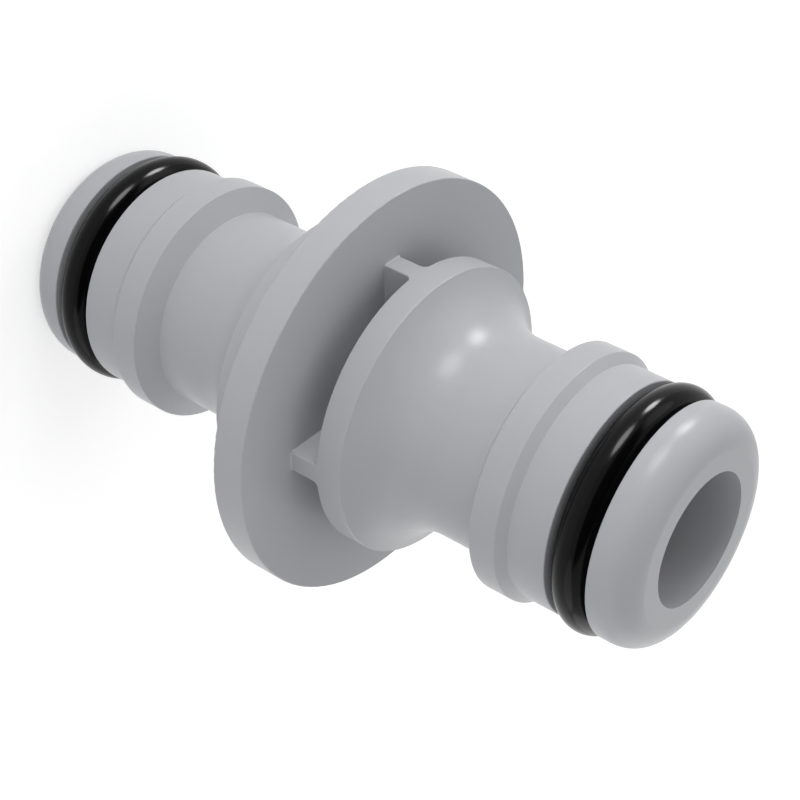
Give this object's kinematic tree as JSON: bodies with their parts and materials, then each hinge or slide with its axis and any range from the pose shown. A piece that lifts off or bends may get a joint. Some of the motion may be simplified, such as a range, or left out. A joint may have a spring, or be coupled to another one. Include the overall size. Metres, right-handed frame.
{
  "type": "double male hose coupler",
  "caption": "Straight hose mender in grey plastic: a quick-connect plug at each end, sealed by an O-ring, with a round stop flange between. It joins hose ends that carry sockets.",
  "frame": {"origin": "centre of the lower plug's end face, on which the part stands", "axes": "+Z along the bore, from the lower plug to the upper one; +X and +Y point midway between ribs"},
  "size_m": [0.0288, 0.0288, 0.05],
  "materials": {
    "grey_plastic": "satin, as moulded",
    "black_rubber": "smooth and glossy, lightly greased"
  },
  "bodies": {
    "root": {"coupler_body": "grey_plastic", "upper_o_ring": "black_rubber", "lower_o_ring": "black_rubber"}
  },
  "joints": []
}
